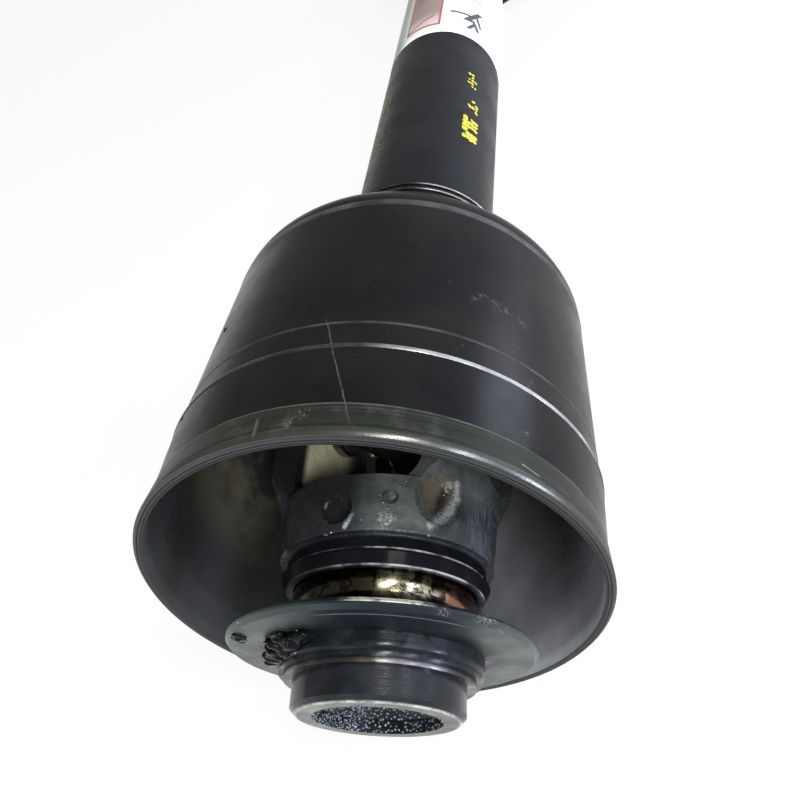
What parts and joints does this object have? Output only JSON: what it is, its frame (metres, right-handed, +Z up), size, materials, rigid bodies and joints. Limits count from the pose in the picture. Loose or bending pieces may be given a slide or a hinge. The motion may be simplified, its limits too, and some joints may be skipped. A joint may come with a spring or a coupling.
{
  "type": "cardan shaft",
  "caption": "Telescoping cardan shaft with a universal joint and splined push-lock hub at each end, inside a black plastic guard with two bells and two tubes.",
  "frame": {"origin": "on the floor under the middle of the shaft, lying at its shortest length", "axes": "+Y along the shaft from the near end to the far end, +Z up"},
  "size_m": [0.155, 0.8436, 0.155],
  "materials": {
    "guard_plastic": "black moulded plastic, half gloss, scuffed",
    "guard_tube_plastic": "black extruded plastic, smooth",
    "ring_plastic": "greased white plastic",
    "forged_steel": "black forged steel",
    "hub_steel": "blackened oily forged steel, glossy",
    "collar_steel": "satin blue-grey steel",
    "cover_plate": "thin yellow plated sleeve, shiny",
    "bearing_steel": "ground steel",
    "spring_steel": "dark spring steel",
    "plated_steel": "zinc plated steel",
    "tube_steel": "drawn steel with grease",
    "seal_rubber": "black rubber"
  },
  "bodies": {
    "near_guard": {"near_guard_bell": "guard_plastic", "near_guard_tube": "guard_tube_plastic", "near_bearing_ring": "ring_plastic"},
    "near_shaft": {"near_shaft_yoke": "forged_steel", "near_drive_tube": "tube_steel", "near_roll_pin": "spring_steel", "near_shaft_cups": "bearing_steel", "near_shaft_cup_clips": "spring_steel"},
    "near_joint_cross": {"near_cross": "forged_steel", "near_grease_nipple": "plated_steel", "near_trunnion_seals": "seal_rubber"},
    "near_hub": {"near_hub_yoke": "hub_steel", "near_hub_cups": "bearing_steel", "near_hub_cup_clips": "spring_steel", "near_collar_washer": "collar_steel", "near_collar_circlip": "spring_steel", "near_collar_spring": "spring_steel"},
    "near_collar": {"near_lock_collar": "collar_steel", "near_spring_cover": "cover_plate"},
    "near_ball_1": {"near_lock_ball_1": "bearing_steel"},
    "near_ball_2": {"near_lock_ball_2": "bearing_steel"},
    "near_ball_3": {"near_lock_ball_3": "bearing_steel"},
    "far_guard": {"far_guard_bell": "guard_plastic", "far_guard_tube": "guard_tube_plastic", "far_bearing_ring": "ring_plastic"},
    "far_shaft": {"far_shaft_yoke": "forged_steel", "far_drive_tube": "tube_steel", "far_roll_pin": "spring_steel", "far_shaft_cups": "bearing_steel", "far_shaft_cup_clips": "spring_steel"},
    "far_joint_cross": {"far_cross": "forged_steel", "far_grease_nipple": "plated_steel", "far_trunnion_seals": "seal_rubber"},
    "far_hub": {"far_hub_yoke": "hub_steel", "far_hub_cups": "bearing_steel", "far_hub_cup_clips": "spring_steel", "far_collar_washer": "collar_steel", "far_collar_circlip": "spring_steel", "far_collar_spring": "spring_steel"},
    "far_collar": {"far_lock_collar": "collar_steel", "far_spring_cover": "cover_plate"},
    "far_ball_1": {"far_lock_ball_1": "bearing_steel"},
    "far_ball_2": {"far_lock_ball_2": "bearing_steel"},
    "far_ball_3": {"far_lock_ball_3": "bearing_steel"}
  },
  "joints": [
    {"name": "shaft_spin", "type": "hinge", "parent": "near_guard", "child": "near_shaft", "pos_m": [0, -0.305, 0.0775], "axis": [0, 1, 0], "continuous": true},
    {"name": "telescope", "type": "slide", "parent": "near_shaft", "child": "far_shaft", "axis": [0, 1, 0], "range_m": [0, 0.2]},
    {"name": "far_guard_spin", "type": "hinge", "parent": "far_shaft", "child": "far_guard", "pos_m": [0, 0.305, 0.0775], "axis": [0, 1, 0], "continuous": true},
    {"name": "near_cross_bend", "type": "hinge", "parent": "near_shaft", "child": "near_joint_cross", "pos_m": [0, -0.305, 0.0775], "axis": [0.1659, 0, -0.9861], "range_deg": [-11.4, 7.6]},
    {"name": "near_hub_bend", "type": "hinge", "parent": "near_joint_cross", "child": "near_hub", "pos_m": [0, -0.305, 0.0775], "axis": [0.9856, -0.0332, 0.1658], "range_deg": [-22.65, 0.35]},
    {"name": "near_collar_slide", "type": "slide", "parent": "near_hub", "child": "near_collar", "axis": [0, 0.9806, 0.1961], "range_m": [0, 0.009], "stiffness_N_per_m": 3000, "springref_m": -0.01, "deforming": ["near_collar_spring"]},
    {"name": "near_ball_1_lift", "type": "slide", "parent": "near_hub", "child": "near_ball_1", "axis": [0.769, -0.1253, 0.6268], "range_m": [0, 0.0025]},
    {"name": "near_ball_2_lift", "type": "slide", "parent": "near_hub", "child": "near_ball_2", "axis": [-0.9381, -0.0679, 0.3396], "range_m": [0, 0.0025]},
    {"name": "near_ball_3_lift", "type": "slide", "parent": "near_hub", "child": "near_ball_3", "axis": [0.1691, 0.1933, -0.9665], "range_m": [0, 0.0025]},
    {"name": "far_cross_bend", "type": "hinge", "parent": "far_shaft", "child": "far_joint_cross", "pos_m": [0, 0.305, 0.0775], "axis": [0.1659, 0, -0.9861], "range_deg": [-7.6, 11.4]},
    {"name": "far_hub_bend", "type": "hinge", "parent": "far_joint_cross", "child": "far_hub", "pos_m": [0, 0.305, 0.0775], "axis": [-0.9856, -0.0332, -0.1658], "range_deg": [-22.65, 0.35]},
    {"name": "far_collar_slide", "type": "slide", "parent": "far_hub", "child": "far_collar", "axis": [0, -0.9806, 0.1961], "range_m": [0, 0.009], "stiffness_N_per_m": 3000, "springref_m": -0.01, "deforming": ["far_collar_spring"]},
    {"name": "far_ball_1_lift", "type": "slide", "parent": "far_hub", "child": "far_ball_1", "axis": [-0.9381, 0.0679, 0.3396], "range_m": [0, 0.0025]},
    {"name": "far_ball_2_lift", "type": "slide", "parent": "far_hub", "child": "far_ball_2", "axis": [0.769, 0.1253, 0.6268], "range_m": [0, 0.0025]},
    {"name": "far_ball_3_lift", "type": "slide", "parent": "far_hub", "child": "far_ball_3", "axis": [0.1691, -0.1933, -0.9665], "range_m": [0, 0.0025]}
  ],
  "couplings": [
    {"joint": "near_ball_1_lift", "follows": "near_collar_slide", "ratio": 0.2667},
    {"joint": "near_ball_2_lift", "follows": "near_collar_slide", "ratio": 0.2667},
    {"joint": "near_ball_3_lift", "follows": "near_collar_slide", "ratio": 0.2667},
    {"joint": "far_ball_1_lift", "follows": "far_collar_slide", "ratio": 0.2667},
    {"joint": "far_ball_2_lift", "follows": "far_collar_slide", "ratio": 0.2667},
    {"joint": "far_ball_3_lift", "follows": "far_collar_slide", "ratio": 0.2667}
  ]
}
